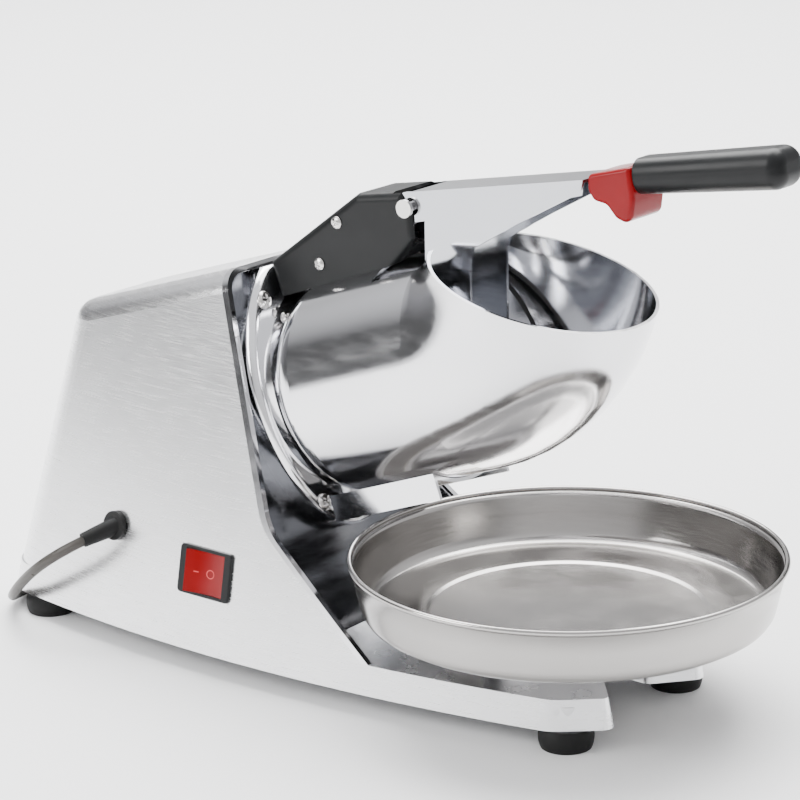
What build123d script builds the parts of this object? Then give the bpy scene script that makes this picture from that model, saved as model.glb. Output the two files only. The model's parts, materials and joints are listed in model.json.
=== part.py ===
"""Shaved ice machine: millimetres, +Z up, +X towards the pan, origin under the middle of the body."""
import os
from math import cos, pi, radians, sin, sqrt, tan

from build123d import *

os.makedirs("parts", exist_ok=True)

# Casing and base
foot_height = 12
foot_radius = 15
deck_top = 28.5
draft = 11.3  # lean of every side wall, degrees
wall = 4
rear_x = -251
side_radius = 1000  # plan curve of the long sides
side_peak_x = -57
side_half = 89
rear_corner_radius = 28
crown_radius = 15
crown_slope = 17  # rise of the casing top towards the front, degrees
crown_rear_x = -206
crown_rear_z = 187
block_front_x = 60
block_top = 275

# Base fork
prong_front_x = 190
notch_half = 19
notch_back_x = 110
flare_start_x = 155
flare_run = 35
flare_half = 60
outer_cut_x = 150
outer_cut_half = 68
tip_radius = 7

# Casing front edge and the panel behind it
trim_width = 4.5
trim_depth = 3.5
trim_top = (-102.1, 270)
trim_knee = (-35.6, 88.7)
trim_toe = (40, 28.5)
panel_setback = 3.2
panel_top_z = 249.3
panel_knee_z = 60
panel_toe = (-4, 28.5)

# Tilted head: everything on one axis that rises towards the pan
head_tilt = 20
head_origin = (55.8, 0, 187)  # end of the straight part of the hopper
head_face = -113  # distances along the head axis
head_back = -127
head_half_width = 55
head_half_height = 80
head_shift = 3.5
flange_face = -106
flange_half_width = 51
flange_half_height = 62
flange_shift = 2

# Hopper
hopper_radius = 63
hopper_skin = 1.8
neck_radius = 46
shoulder_end = -84
elbow_radius = 70
elbow_angle = 55
hopper_notch_half = 32
hopper_notch_back = 7

# Blade disc and drive
disc_radius = 49
disc_thickness = 5
disc_back = -120.5
recess_radius = 50.5
recess_back = -122.5
shaft_radius = 6
running_fit = 0.05
motor_radius = 46
motor_skin = 3
motor_length = 90
cap_thickness = 10
rotor_radius = 25
air_gap = 0.5
bearing_radius = 14
motor_bolt_circle = 36
motor_bolt_radius = 2.5
motor_bolt_head = 4.4
motor_bolt_count = 4
motor_bolt_sink = 2.6

# Lever and pusher
hinge_x = 23
hinge_z = 268
lever_tilt = 10
lever_half = 17.5
sheet = 2
web_height = 6.5  # underside of the lever top above the hinge
hinge_eye = 8.5
pin_radius = 3
pusher_x = 53.5
pusher_z = 199
pusher_tilt = 35
pusher_radius = 52
edge_width = 4
pusher_chord = 28

# Pan
pan_x = 115
pan_radius = 120
pan_top = 85
pan_foot_radius = 112
pan_bottom = 51
pan_sheet = 1.2
pan_disc_radius = 76
pan_disc_rise = 1
rest_radius = 45

# Mains lead
cord_radius = 3
cord_exit = (-151, 69)
coil_x = -222
coil_y = 126
coil_mid_radius = 33
coil_half = 9


def sloped(level, inset):
    """How far the drafted wall has moved inwards at one height."""
    return (level - foot_height) * tan(radians(draft)) + inset


def lens(level, inset):
    """Plan outline between the two long curved sides."""
    radius = side_radius - sloped(level, inset)
    offset = side_radius - side_half
    rear = rear_x + sloped(level, inset)
    with BuildSketch(Plane.XY.offset(level), mode=Mode.PRIVATE) as outline:
        with Locations((side_peak_x, offset)):
            Circle(radius)
        with Locations((side_peak_x, -offset)):
            Circle(radius, mode=Mode.INTERSECT)
        with Locations(((rear + prong_front_x) / 2, 0)):
            Rectangle(prong_front_x - rear, 2 * side_half, mode=Mode.INTERSECT)
        fillet(outline.vertices().sort_by(Axis.X)[:2], radius=rear_corner_radius - inset)
    return outline.sketch


def casing_section(level, inset):
    """Plan outline of the upper casing at one height, square at the front."""
    with BuildSketch(Plane.XY.offset(level), mode=Mode.PRIVATE) as outline:
        add(lens(level, inset))
        with Locations((block_front_x + side_half, 0)):
            Rectangle(2 * side_half, 4 * side_half, mode=Mode.SUBTRACT)
        with Locations((block_front_x + 2 * side_half, 0)):
            Rectangle(2 * side_half, 4 * side_half, mode=Mode.SUBTRACT)
    return outline.sketch


def casing_block(bottom, inset):
    """Upper casing as a solid block, its skin moved inwards by inset."""
    rise = tan(radians(crown_slope))
    drop = inset / cos(radians(crown_slope))
    with BuildPart(mode=Mode.PRIVATE) as block:
        loft([casing_section(bottom, inset), casing_section(block_top, inset)], ruled=True)
        with BuildSketch(Plane.XZ):
            with BuildLine():
                rear_z = crown_rear_z - drop + (rear_x - crown_rear_x) * rise
                front_z = crown_rear_z - drop + (block_front_x + wall - crown_rear_x) * rise
                Polyline(
                    (rear_x, rear_z),
                    (block_front_x + wall, front_z),
                    (block_front_x + wall, front_z + side_half),
                    (rear_x, front_z + side_half),
                    close=True,
                )
            make_face()
        extrude(amount=side_half, both=True, mode=Mode.SUBTRACT)
        crown = block.faces().sort_by(Axis.Z)[-1]
        fillet(crown.edges().sort_by(Axis.X)[:-1], radius=crown_radius - inset)
    return block.part


def fork_section(level, inset):
    """Plan outline of the base: long sides, rounded prong tips and the flared notch between them."""
    with BuildSketch(Plane.XY.offset(level), mode=Mode.PRIVATE) as outline:
        add(lens(foot_height, 0))
        with BuildLine():
            Polyline(
                (notch_back_x, notch_half),
                (flare_start_x, notch_half),
                (flare_start_x + flare_run, flare_half),
                (flare_start_x + flare_run, -flare_half),
                (flare_start_x, -notch_half),
                (notch_back_x, -notch_half),
                close=True,
            )
        make_face(mode=Mode.SUBTRACT)
        with Locations((notch_back_x, 0)):
            Circle(notch_half, mode=Mode.SUBTRACT)
        for side in (1, -1):
            with BuildLine():
                Polyline(
                    (outer_cut_x, side * outer_cut_half),
                    (prong_front_x, side * (outer_cut_half - flare_run)),
                    (prong_front_x + wall, side * side_half),
                    (outer_cut_x, side * side_half),
                    close=True,
                )
            make_face(mode=Mode.SUBTRACT)
        corners = outline.vertices()
        fillet(corners.filter_by_position(Axis.X, outer_cut_x + 1, prong_front_x), radius=tip_radius)
        shoulders = outline.vertices().filter_by_position(Axis.X, outer_cut_x - 1, outer_cut_x + 1)
        fillet(shoulders.filter_by(lambda v: abs(v.Y) > flare_half), radius=rear_corner_radius)
        if inset:
            offset(amount=-inset)
    return outline.sketch


def front_line(top, knee, toe, shift):
    """Front edge of the casing seen from the side, moved back by shift."""
    return [(top[0] - shift, top[1]), (knee[0] - shift, knee[1]), (toe[0] - shift, toe[1])]


def front_strip(top, knee, toe, near, far):
    """Strip between two copies of a front edge line, as a slab across the machine."""
    with BuildPart(mode=Mode.PRIVATE) as slab:
        with BuildSketch(Plane.XZ):
            with BuildLine():
                ahead = FilletPolyline(*front_line(top, knee, toe, near), radius=elbow_radius / 2)
                behind = FilletPolyline(*front_line(top, knee, toe, far), radius=elbow_radius / 2)
                Line(ahead @ 0, behind @ 0)
                Line(ahead @ 1, behind @ 1)
            make_face()
        extrude(amount=side_half, both=True)
    return slab.part


def wall_plane(x, level):
    """Plane on the near side wall: local x forwards, local y up the wall, z outwards."""
    radius = side_radius - sloped(level, 0)
    swing = (x - side_peak_x) / radius
    flat = sqrt(1 - swing**2)
    lean = radians(draft)
    return Plane(
        origin=(x, side_radius - side_half - radius * flat, level),
        x_dir=(flat, swing, 0),
        z_dir=(swing * cos(lean), -flat * cos(lean), sin(lean)),
    )


def tilted_plane(origin, angle):
    """Plane facing forwards and up by angle: local x along +Y, local y up."""
    return Plane(origin=origin, x_dir=(0, 1, 0), z_dir=(cos(radians(angle)), 0, sin(radians(angle))))


def head_line(distance, level):
    """Place along the machine where a plane square to the head axis reaches one height."""
    start = head_origin[0] * cos(radians(head_tilt)) + head_origin[2] * sin(radians(head_tilt))
    return (start + distance) / cos(radians(head_tilt)) - level * tan(radians(head_tilt))


head = tilted_plane(head_origin, head_tilt)
head_axis = Axis(head_origin, (cos(radians(head_tilt)), 0, sin(radians(head_tilt))))
side_of_head = Plane(origin=head_origin, x_dir=head_axis.direction, z_dir=(0, -1, 0))
hinge_plane = Plane(
    origin=(hinge_x, 0, hinge_z),
    x_dir=(cos(radians(lever_tilt)), 0, sin(radians(lever_tilt))),
    z_dir=(0, -1, 0),
)
pusher_plane = tilted_plane((pusher_x, 0, pusher_z), pusher_tilt)
front_feet = [(151, 53), (151, -53)]
rear_feet = [(-218, 63), (-218, -63)]

# ---------------------------------------------------------------- casing
boss_radius = 9
boss_bottom = 13.5
boss_top = 24.6
foot_screw_radius = 2.5
switch_plane = wall_plane(-77, 57)
switch_width = 38.7
switch_height = 28
body_width = 36
body_height = 26.4
seat_depth = 0.6
grommet_plane = wall_plane(*cord_exit)
grommet_radius = 6
fork_wall = 7
deck_skin = 4

outer_block = casing_block(deck_top, 0)
inner_block = casing_block(foot_height, wall)
trim_inner = casing_block(foot_height, trim_depth)
front_room = front_strip(trim_top, trim_knee, trim_toe, -3 * side_half, trim_width)
trim_strip = front_strip(trim_top, trim_knee, trim_toe, 0, trim_width)
panel_top = (head_line(head_back, panel_top_z), panel_top_z)
panel_knee = (head_line(head_back, panel_knee_z), panel_knee_z)
panel_strip = front_strip(panel_top, panel_knee, panel_toe, 0, panel_setback)

head_limit = casing_block(foot_height, wall + running_fit)

with BuildPart() as casing_hollow:
    add(inner_block)
    with BuildSketch(Plane.XY.offset(foot_height)):
        with Locations((panel_toe[0] - panel_setback + side_half, 0)):
            Rectangle(2 * side_half, 2 * side_half)
    extrude(amount=deck_top - foot_height, mode=Mode.SUBTRACT)

with BuildPart() as casing:
    with BuildSketch(Plane.XY.offset(foot_height)):
        add(fork_section(foot_height, 0))
    extrude(amount=deck_top - foot_height, taper=draft)
    add(outer_block)
    add(casing_hollow.part, mode=Mode.SUBTRACT)
    add(front_room, mode=Mode.SUBTRACT)
    with BuildSketch(Plane.XY.offset(foot_height)):
        add(fork_section(foot_height, fork_wall))
    extrude(amount=deck_top - deck_skin - foot_height, mode=Mode.SUBTRACT)
    with BuildSketch(Plane.XY.offset(boss_bottom)):
        with Locations(*front_feet, *rear_feet):
            Circle(boss_radius)
    extrude(amount=boss_top - boss_bottom)
    with BuildSketch(Plane.XY.offset(boss_bottom)):
        with Locations(*front_feet, *rear_feet):
            Circle(foot_screw_radius + running_fit)
    extrude(amount=boss_top - boss_bottom - 2, mode=Mode.SUBTRACT)
    with BuildSketch(switch_plane.offset(-seat_depth)):
        Rectangle(switch_width + 2 * running_fit, switch_height + 2 * running_fit)
    extrude(amount=wall, mode=Mode.SUBTRACT)
    with BuildSketch(switch_plane.offset(-2 * wall)):
        Rectangle(body_width + 2 * running_fit, body_height + 2 * running_fit)
    extrude(amount=3 * wall, mode=Mode.SUBTRACT)
    with BuildSketch(grommet_plane.offset(-2 * wall)):
        Circle(grommet_radius + running_fit)
    extrude(amount=3 * wall, mode=Mode.SUBTRACT)
casing.part.label = "casing"
export_step(casing.part, "parts/casing.step")

with BuildPart() as front_trim:
    add(outer_block)
    add(trim_inner, mode=Mode.SUBTRACT)
    add(trim_strip, mode=Mode.INTERSECT)
front_trim.part.label = "front_trim"
export_step(front_trim.part, "parts/front_trim.step")

with BuildPart() as front_panel:
    add(casing_hollow.part)
    add(panel_strip, mode=Mode.INTERSECT)
    with BuildSketch(head.offset(head_back)):
        Circle(shaft_radius + 1)
        with PolarLocations(motor_bolt_circle, motor_bolt_count, start_angle=45):
            Circle(motor_bolt_radius + running_fit)
    extrude(amount=-3 * wall, mode=Mode.SUBTRACT)
front_panel.part.label = "front_panel"
export_step(front_panel.part, "parts/front_panel.step")

# ---------------------------------------------------------------- base cover and feet
cover_sheet = 1.5
foot_bulge = 1.2
foot_recess = 5
foot_screw_length = 20
foot_screw_head = 5

with BuildPart() as bottom_cover:
    with BuildSketch(Plane.XY.offset(foot_height)):
        add(fork_section(foot_height, fork_wall + running_fit))
        with Locations(*front_feet, *rear_feet):
            Circle(foot_screw_radius + running_fit, mode=Mode.SUBTRACT)
    extrude(amount=cover_sheet)
bottom_cover.part.label = "bottom_cover"
export_step(bottom_cover.part, "parts/bottom_cover.step")

for number, (x, y) in enumerate(front_feet + rear_feet, start=1):
    with BuildPart() as foot:
        with BuildSketch(Plane.XZ):
            with BuildLine():
                Polyline(
                    (foot_radius - foot_bulge, foot_height),
                    (0, foot_height),
                    (0, 0),
                    (foot_radius - foot_bulge, 0),
                )
                ThreePointArc(
                    (foot_radius - foot_bulge, 0),
                    (foot_radius, foot_height / 2),
                    (foot_radius - foot_bulge, foot_height),
                )
            make_face()
        revolve(axis=Axis.Z)
        with BuildSketch(Plane.XY):
            Circle(foot_screw_head + 1)
        extrude(amount=foot_recess, mode=Mode.SUBTRACT)
        with BuildSketch(Plane.XY):
            Circle(foot_screw_radius + running_fit)
        extrude(amount=foot_height, mode=Mode.SUBTRACT)
    placed_foot = Pos(x, y, 0) * foot.part
    placed_foot.label = f"foot_{number}"
    export_step(placed_foot, f"parts/foot_{number}.step")

with BuildPart() as foot_screws:
    with BuildSketch(Plane.XY.offset(foot_recess - 3)):
        with Locations(*front_feet, *rear_feet):
            Circle(foot_screw_head)
    extrude(amount=3)
    with BuildSketch(Plane.XY.offset(foot_recess)):
        with Locations(*front_feet, *rear_feet):
            Circle(foot_screw_radius)
    extrude(amount=foot_screw_length - foot_recess)
foot_screws.part.label = "foot_screws"
export_step(foot_screws.part, "parts/foot_screws.step")

# ---------------------------------------------------------------- head plate
chute_half = 22
outlet_bottom = -70
outlet_top = -52
head_screws = [(-29.5, 61), (29.5, 61), (-30, -57.5), (30, -57.5)]
flange_screws = [(-24, 48), (24, 48), (-23, -44), (23, -44)]
screw_radius = 2.5
screw_head_radius = 5
screw_head_height = 2.5
small_screw_radius = 2
small_head_radius = 3.5

with BuildPart() as head_plate:
    with BuildSketch(head.offset(head_back)):
        with Locations((0, head_shift)):
            Ellipse(head_half_width, head_half_height)
    extrude(amount=head_face - head_back)
    fillet(head_plate.faces().sort_by(head_axis)[-1].edges(), radius=5)
    add(head_limit, mode=Mode.INTERSECT)
    with BuildSketch(head.offset(recess_back)):
        Circle(recess_radius)
        with Locations((0, outlet_bottom / 2)):
            Rectangle(2 * chute_half, -outlet_bottom)
    extrude(amount=head_face - recess_back, mode=Mode.SUBTRACT)
    with BuildSketch(head.offset(head_back)):
        Circle(shaft_radius + 1)
    extrude(amount=recess_back - head_back, mode=Mode.SUBTRACT)
    with BuildSketch(head.offset(recess_back)):
        with Locations(*head_screws):
            Circle(screw_radius + running_fit)
    extrude(amount=head_face - recess_back, mode=Mode.SUBTRACT)
    with BuildSketch(head.offset(recess_back)):
        with PolarLocations(motor_bolt_circle, motor_bolt_count, start_angle=45):
            Circle(motor_bolt_head + running_fit)
    extrude(amount=-motor_bolt_sink, mode=Mode.SUBTRACT)
    with BuildSketch(head.offset(recess_back)):
        with PolarLocations(motor_bolt_circle, motor_bolt_count, start_angle=45):
            Circle(motor_bolt_radius + running_fit)
    extrude(amount=head_back - recess_back, mode=Mode.SUBTRACT)
head_plate.part.label = "head_plate"
export_step(head_plate.part, "parts/head_plate.step")

with BuildPart() as head_plate_screws:
    with BuildSketch(head.offset(recess_back)):
        with Locations(*head_screws):
            Circle(screw_radius)
    extrude(amount=head_face - recess_back)
    with BuildSketch(head.offset(head_face)):
        with Locations(*head_screws):
            Circle(screw_head_radius)
    extrude(amount=screw_head_height)
head_plate_screws.part.label = "head_plate_screws"
export_step(head_plate_screws.part, "parts/head_plate_screws.step")

# ---------------------------------------------------------------- hopper
elbow_centre = (
    head_origin[0] - elbow_radius * sin(radians(head_tilt)),
    0,
    head_origin[2] + elbow_radius * cos(radians(head_tilt)),
)
neck_end = flange_face + 3
shoulder_mid = (-96, 58.5)


def hopper_core(inset):
    """Hopper tube with its shoulder and elbow as a solid, its skin moved inwards by inset."""
    with BuildPart(mode=Mode.PRIVATE) as core:
        with BuildSketch(side_of_head):
            with BuildLine():
                Polyline(
                    (0, hopper_radius - inset),
                    (0, 0),
                    (flange_face, 0),
                    (flange_face, neck_radius - inset),
                )
                Line((flange_face, neck_radius - inset), (neck_end, neck_radius - inset))
                ThreePointArc(
                    (neck_end, neck_radius - inset),
                    (shoulder_mid[0] + inset * 0.7, shoulder_mid[1] - inset * 0.7),
                    (shoulder_end, hopper_radius - inset),
                )
                Line((shoulder_end, hopper_radius - inset), (0, hopper_radius - inset))
            make_face()
        revolve(axis=head_axis)
        with BuildSketch(head):
            Circle(hopper_radius - inset)
        revolve(axis=Axis(elbow_centre, (0, -1, 0)), revolution_arc=elbow_angle)
    return core.part


with BuildPart() as hopper:
    add(hopper_core(0))
    add(hopper_core(hopper_skin), mode=Mode.SUBTRACT)
    with BuildSketch(Plane.XZ):
        with BuildLine():
            Polyline(
                (hopper_notch_back, 222),
                (hopper_notch_back, 262),
                (pusher_x - 8, 275),
                (pusher_x - 8, 222),
                close=True,
            )
        make_face()
    extrude(amount=hopper_notch_half, both=True, mode=Mode.SUBTRACT)
hopper.part.label = "hopper"
export_step(hopper.part, "parts/hopper.step")

with BuildPart() as hopper_flange:
    with BuildSketch(head.offset(head_face)):
        with Locations((0, flange_shift)):
            Ellipse(flange_half_width, flange_half_height)
        Circle(neck_radius - hopper_skin, mode=Mode.SUBTRACT)
        with Locations((0, outlet_top - side_half / 2)):
            Rectangle(2 * chute_half, side_half, mode=Mode.SUBTRACT)
        with Locations(*flange_screws):
            Circle(small_screw_radius + running_fit, mode=Mode.SUBTRACT)
    extrude(amount=flange_face - head_face)
hopper_flange.part.label = "hopper_flange"
export_step(hopper_flange.part, "parts/hopper_flange.step")

with BuildPart() as hopper_flange_screws:
    with BuildSketch(head.offset(head_face)):
        with Locations(*flange_screws):
            Circle(small_screw_radius)
    extrude(amount=flange_face - head_face)
    with BuildSketch(head.offset(flange_face)):
        with Locations(*flange_screws):
            Circle(small_head_radius)
    extrude(amount=2)
hopper_flange_screws.part.label = "hopper_flange_screws"
export_step(hopper_flange_screws.part, "parts/hopper_flange_screws.step")

# ---------------------------------------------------------------- discharge hood
hood_outer = 32
hood_skin = 2
hood_bottom = -68.5
hood_front = -28

with BuildPart() as discharge_hood:
    with BuildSketch(head.offset(flange_face)):
        with Locations((0, (hood_bottom - flange_shift) / 2)):
            Rectangle(2 * hood_outer, -hood_bottom)
        with Locations((0, (hood_bottom - hopper_radius - 3 * hood_skin) / 2)):
            Rectangle(2 * (hood_outer - hood_skin), hopper_radius + 5 * hood_skin, mode=Mode.SUBTRACT)
        Circle(hopper_radius + hood_skin + 0.3)
        Circle(hopper_radius + 0.3, mode=Mode.SUBTRACT)
        with Locations((0, side_half - 54)):
            Rectangle(4 * side_half, 2 * side_half, mode=Mode.SUBTRACT)
        with Locations((hood_outer + side_half, 0), (-hood_outer - side_half, 0)):
            Rectangle(2 * side_half, 4 * side_half, mode=Mode.SUBTRACT)
    extrude(amount=hood_front - flange_face)
discharge_hood.part.label = "discharge_hood"
export_step(discharge_hood.part, "parts/discharge_hood.step")

# ---------------------------------------------------------------- hinge cover and bracket
cover_half = 20
cover_skin = 2
cover_slot_x = 13
ear_outer = 14.5
ear_inner = 10
pin_head_radius = 5
cover_round = 5
cover_outline = [(-75.3, 225), (-12, 271.5), (19, 276.5), (27.5, 266), (29, 251), (17, 236), (-20, 190), (-64, 195)]

plunger_radius = 3
plunger_tip_x = 28
plunger_length = 20
plunger_plane = Plane(origin=(plunger_tip_x - plunger_length, 0, 244), x_dir=(0, 1, 0), z_dir=(1, 0, 0))

with BuildPart() as hopper_column:
    with BuildSketch(head.offset(head_face)):
        Circle(hopper_radius)
    extrude(amount=-head_face)

with BuildPart() as flange_room:
    with BuildSketch(head.offset(head_back)):
        with Locations((0, flange_shift)):
            Ellipse(flange_half_width + running_fit, flange_half_height + running_fit)
    extrude(amount=flange_face - head_back)

with BuildPart() as head_room:
    with BuildSketch(head.offset(head_face - side_half)):
        Rectangle(4 * side_half, 4 * side_half)
    extrude(amount=side_half)

with BuildPart() as hinge_cover:
    with BuildSketch(Plane.XZ) as cover_side:
        with BuildLine():
            Polyline(*cover_outline, close=True)
        make_face()
        fillet(cover_side.vertices().filter_by(lambda v: v.Z > 270), radius=5)
    extrude(amount=cover_half, both=True)
    fillet(hinge_cover.edges().filter_by(lambda e: abs(abs(e.center().Y) - cover_half) < 0.1), cover_round)
    with BuildSketch(Plane.XZ):
        with BuildLine():
            Polyline(*cover_outline, close=True)
        make_face()
        offset(amount=-cover_skin, kind=Kind.INTERSECTION)
    extrude(amount=cover_half - cover_skin, both=True, mode=Mode.SUBTRACT)
    with BuildSketch(Plane.XZ):
        with Locations((cover_slot_x + cover_half, hinge_z)):
            Rectangle(2 * cover_half, 2 * cover_half)
    extrude(amount=cover_half - cover_skin, both=True, mode=Mode.SUBTRACT)
    with BuildSketch(Plane.XZ):
        with Locations((hinge_x, hinge_z)):
            Circle(pin_radius + running_fit)
    extrude(amount=2 * cover_half, both=True, mode=Mode.SUBTRACT)
    with BuildSketch(plunger_plane):
        Circle(plunger_radius + running_fit)
    extrude(amount=cover_half, mode=Mode.SUBTRACT)
    add(hopper_column.part, mode=Mode.SUBTRACT)
    add(flange_room.part, mode=Mode.SUBTRACT)
    add(head_room.part, mode=Mode.SUBTRACT)
hinge_cover.part.label = "hinge_cover"
export_step(hinge_cover.part, "parts/hinge_cover.step")

cover_screws = [(-25, 254), (-38, 229)]

with BuildPart() as hinge_cover_screws:
    for side in (1, -1):
        with BuildSketch(Plane.XZ.offset(side * cover_half)):
            with Locations(*cover_screws):
                Circle(small_head_radius)
        extrude(amount=side * 2)
hinge_cover_screws.part.label = "hinge_cover_screws"
export_step(hinge_cover_screws.part, "parts/hinge_cover_screws.step")

ear_points = [(-25, 205), (-25, 232), (18.5, 271.6), (27.5, 264.2), (6, 236), (5, 205)]

with BuildPart() as hinge_bracket:
    with BuildSketch(Plane.XZ):
        with BuildLine():
            Polyline(*ear_points, close=True)
        make_face()
        with Locations((hinge_x, hinge_z)):
            Circle(2 * pin_radius)
            Circle(pin_radius + running_fit, mode=Mode.SUBTRACT)
    extrude(amount=ear_outer, both=True)
    with BuildSketch(Plane.XZ):
        with BuildLine():
            Polyline((-30, 225.2), (-30, 290), (40, 290), (40, 200), (9, 239.4), close=True)
        make_face()
    extrude(amount=ear_inner, both=True, mode=Mode.SUBTRACT)
    add(hopper_column.part, mode=Mode.SUBTRACT)
hinge_bracket.part.label = "hinge_bracket"
export_step(hinge_bracket.part, "parts/hinge_bracket.step")

with BuildPart() as hinge_pin:
    with BuildSketch(Plane.XZ.offset(-cover_half)):
        with Locations((hinge_x, hinge_z)):
            Circle(pin_radius)
    extrude(amount=2 * cover_half)
    with BuildSketch(Plane.XZ.offset(cover_half)):
        with Locations((hinge_x, hinge_z)):
            Circle(pin_head_radius)
    extrude(amount=2)
hinge_pin.part.label = "hinge_pin"
export_step(hinge_pin.part, "parts/hinge_pin.step")

with BuildPart() as hinge_pin_nut:
    with BuildSketch(Plane.XZ.offset(-cover_half)):
        with Locations((hinge_x, hinge_z)):
            RegularPolygon(pin_head_radius, 6)
    extrude(amount=-3)
hinge_pin_nut.part.label = "hinge_pin_nut"
export_step(hinge_pin_nut.part, "parts/hinge_pin_nut.step")

# ---------------------------------------------------------------- lever
web_start = 3
tang_start = 110
tang_end = 205
tang_half = 6
tang_thickness = 3
gusset_front_x = 64
gusset_rear_x = 38.5


def pusher_face(x):
    """Height of the pusher's front face at one place along the machine."""
    return pusher_z - (x - pusher_x) / tan(radians(pusher_tilt))


with BuildPart() as lever:
    with BuildSketch(Plane.XZ):
        with BuildLine():
            Polyline(
                (21.6, 276.3),
                (136.7, 296.6),
                (135, 288),
                (128, 286),
                (95, 268),
                (gusset_front_x + 2, 251),
                (gusset_front_x, 245),
                (gusset_front_x, pusher_face(gusset_front_x)),
                (gusset_rear_x, pusher_face(gusset_rear_x)),
                (34, 240),
                (34, 262),
                (24, 259.6),
                close=True,
            )
        make_face()
        with Locations((hinge_x, hinge_z)):
            Circle(hinge_eye)
            Circle(pin_radius + running_fit, mode=Mode.SUBTRACT)
    extrude(amount=lever_half, both=True)
    with BuildSketch(hinge_plane):
        with Locations((0, web_height - side_half)):
            Rectangle(4 * side_half, 2 * side_half)
        with Locations((web_start - side_half, 0)):
            Rectangle(2 * side_half, 2 * side_half)
    extrude(amount=lever_half - sheet, both=True, mode=Mode.SUBTRACT)
    with BuildSketch(hinge_plane):
        with Locations(((tang_start + tang_end) / 2, web_height - tang_thickness / 2)):
            Rectangle(tang_end - tang_start, tang_thickness)
    extrude(amount=tang_half, both=True)
lever.part.label = "lever"
export_step(lever.part, "parts/lever.step")

with BuildPart() as tang_room:
    with BuildSketch(hinge_plane):
        with Locations(((tang_start + tang_end) / 2, web_height - tang_thickness / 2)):
            Rectangle(tang_end - tang_start, tang_thickness)
    extrude(amount=tang_half, both=True)

collar_half = 15
grip_start = 144.5
grip_end = 232


def grip_face(level):
    """Place along the machine where the grip's rear end reaches one height."""
    rise = (level - hinge_z) * sin(radians(lever_tilt))
    return hinge_x + (grip_start - rise) / cos(radians(lever_tilt))


with BuildPart() as lever_collar:
    with BuildSketch(Plane.XZ):
        with BuildLine():
            Polyline(
                (137.3, 299),
                (137.3, 291),
                (141, 285.5),
                (149, 284.5),
                (155, 278),
                (161, 276),
                (165, 279),
                (grip_face(289), 289),
                (grip_face(306), 306),
                (160, 305),
                close=True,
            )
        make_face()
    extrude(amount=collar_half, both=True)
    add(tang_room.part, mode=Mode.SUBTRACT)
lever_collar.part.label = "lever_collar"
export_step(lever_collar.part, "parts/lever_collar.step")

grip_plane = Plane(origin=(hinge_x, 0, hinge_z), x_dir=(0, 1, 0), z_dir=hinge_plane.x_dir)

with BuildPart() as grip:
    with BuildSketch(grip_plane.offset(grip_start)):
        with Locations((0, 6.8)):
            RectangleRounded(26, 18.8, 8.5)
    with BuildSketch(grip_plane.offset(grip_end)):
        with Locations((0, 5.6)):
            RectangleRounded(28, 21.5, 9.5)
    loft(ruled=True)
    fillet(grip.faces().sort_by(Axis.X)[-1].edges(), radius=8)
    add(tang_room.part, mode=Mode.SUBTRACT)
grip.part.label = "grip"
export_step(grip.part, "parts/grip.step")

# ---------------------------------------------------------------- pusher
pusher_thickness = 3


def chord_cut(plane):
    """Slab that trims the top of the pusher along a straight chord."""
    with BuildPart(mode=Mode.PRIVATE) as slab:
        with BuildSketch(plane):
            with Locations((0, pusher_chord + side_half)):
                Rectangle(2 * side_half, 2 * side_half)
        extrude(amount=wall, both=True)
    return slab.part


with BuildPart() as pusher_plate:
    with BuildSketch(pusher_plane):
        Circle(pusher_radius - edge_width)
    extrude(amount=-pusher_thickness)
    add(chord_cut(pusher_plane), mode=Mode.SUBTRACT)
pusher_plate.part.label = "pusher_plate"
export_step(pusher_plate.part, "parts/pusher_plate.step")

with BuildPart() as pusher_edge:
    with BuildSketch(pusher_plane):
        Circle(pusher_radius)
        Circle(pusher_radius - edge_width, mode=Mode.SUBTRACT)
    extrude(amount=-pusher_thickness - 1)
    add(chord_cut(pusher_plane), mode=Mode.SUBTRACT)
pusher_edge.part.label = "pusher_edge"
export_step(pusher_edge.part, "parts/pusher_edge.step")

# ---------------------------------------------------------------- lever switch under the hinge cover
interlock_length = 15
interlock_half = 7
interlock_height = 10

with BuildPart() as interlock_switch:
    with BuildSketch(plunger_plane.offset(-interlock_length)):
        Rectangle(2 * interlock_half, interlock_height)
    extrude(amount=interlock_length + plunger_radius)
    with BuildSketch(plunger_plane.offset(-wall)):
        Circle(plunger_radius + running_fit)
    extrude(amount=2 * wall, mode=Mode.SUBTRACT)
    with BuildSketch(Plane.XZ):
        with BuildLine():
            Polyline((-30, 225.2), (-30, 200), (40, 200), (9, 239.4), close=True)
        make_face()
    extrude(amount=interlock_half, both=True, mode=Mode.SUBTRACT)
interlock_switch.part.label = "interlock_switch"
export_step(interlock_switch.part, "parts/interlock_switch.step")

with BuildPart() as interlock_plunger:
    with BuildSketch(plunger_plane):
        Circle(plunger_radius)
    extrude(amount=plunger_length)
    fillet(interlock_plunger.faces().sort_by(Axis.X)[-1].edges(), radius=2)
interlock_plunger.part.label = "interlock_plunger"
export_step(interlock_plunger.part, "parts/interlock_plunger.step")

# ---------------------------------------------------------------- motor
motor_front = head_back - panel_setback * cos(radians(head_tilt))
motor_rear = motor_front - motor_length
stator_margin = 8


def ring_on_axis(start, end, outer, inner):
    """Plain ring on the head axis between two distances along it."""
    with BuildPart(mode=Mode.PRIVATE) as ring:
        with BuildSketch(head.offset(start)):
            Circle(outer)
            Circle(inner, mode=Mode.SUBTRACT)
        extrude(amount=end - start)
    return ring.part


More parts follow.
